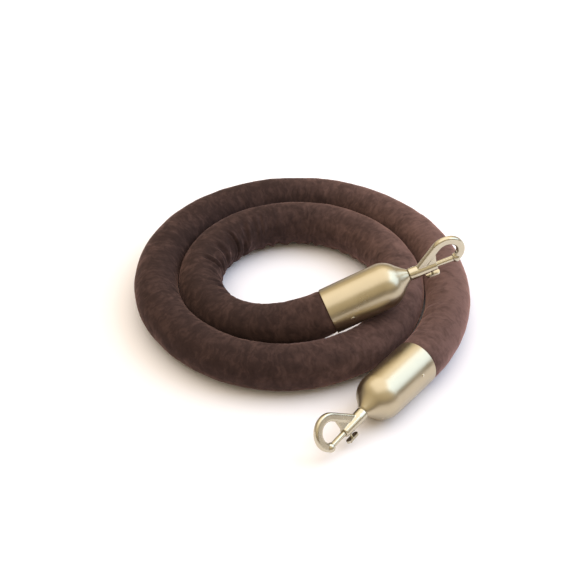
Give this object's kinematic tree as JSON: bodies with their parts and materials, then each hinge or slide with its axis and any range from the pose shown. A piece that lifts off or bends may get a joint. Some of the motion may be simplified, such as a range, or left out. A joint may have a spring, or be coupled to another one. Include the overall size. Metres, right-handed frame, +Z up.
{
  "type": "velvet barrier rope",
  "caption": "Velvet-covered barrier rope lying in a flat coil, with a domed satin-gold cap and a swivelling bolt-snap hook at each end.",
  "frame": {"origin": "on the floor, under the middle of the coiled rope's bounding box", "axes": "+Z up from the floor; the outer end and its hook lie towards -Y, and the raised inner end points towards +X"},
  "size_m": [0.2862, 0.3358, 0.0987],
  "materials": {
    "velvet": "short-pile velvet, dark chocolate brown",
    "filling": "soft cotton wadding",
    "cord": "braided cotton cord",
    "cap_metal": "satin, pale gold plated",
    "brad_metal": "satin",
    "hook_metal": "bright satin, pale gold plated",
    "plug_wood": "turned beech",
    "steel": "plain zinc-plated steel",
    "spring_steel": "spring wire"
  },
  "bodies": {
    "rope": {"velvet_cover": "velvet", "core_filling": "filling", "core_cord": "cord", "end_cap_a": "cap_metal", "end_plug_a": "plug_wood", "cord_ferrule_a": "steel", "cap_brads_a": "brad_metal", "swivel_washer_a": "steel", "end_cap_b": "cap_metal", "end_plug_b": "plug_wood", "cord_ferrule_b": "steel", "cap_brads_b": "brad_metal", "swivel_washer_b": "steel"},
    "hook_a": {"hook_body_a": "hook_metal", "bolt_spring_a": "spring_steel"},
    "sliding_bolt_a": {"bolt_a": "hook_metal", "thumb_stud_a": "hook_metal"},
    "hook_b": {"hook_body_b": "hook_metal", "bolt_spring_b": "spring_steel"},
    "sliding_bolt_b": {"bolt_b": "hook_metal", "thumb_stud_b": "hook_metal"}
  },
  "joints": [
    {"name": "hook_swivel_a", "type": "hinge", "parent": "rope", "child": "hook_a", "pos_m": [0.08094, -0.0221, 0.06394], "axis": [0.9343, 0.2503, 0.2538], "continuous": true},
    {"name": "bolt_slide_a", "type": "slide", "parent": "hook_a", "child": "sliding_bolt_a", "axis": [-0.9343, -0.2503, -0.2538], "range_m": [0, 0.008], "stiffness_N_per_m": 400, "springref_m": -0.006, "deforming": ["bolt_spring_a"]},
    {"name": "hook_swivel_b", "type": "hinge", "parent": "rope", "child": "hook_b", "pos_m": [0.04977, -0.12615, 0.01915], "axis": [-0.6245, -0.7685, -0.1392], "continuous": true},
    {"name": "bolt_slide_b", "type": "slide", "parent": "hook_b", "child": "sliding_bolt_b", "axis": [0.6245, 0.7685, 0.1392], "range_m": [0, 0.008], "stiffness_N_per_m": 400, "springref_m": -0.006, "deforming": ["bolt_spring_b"]}
  ]
}
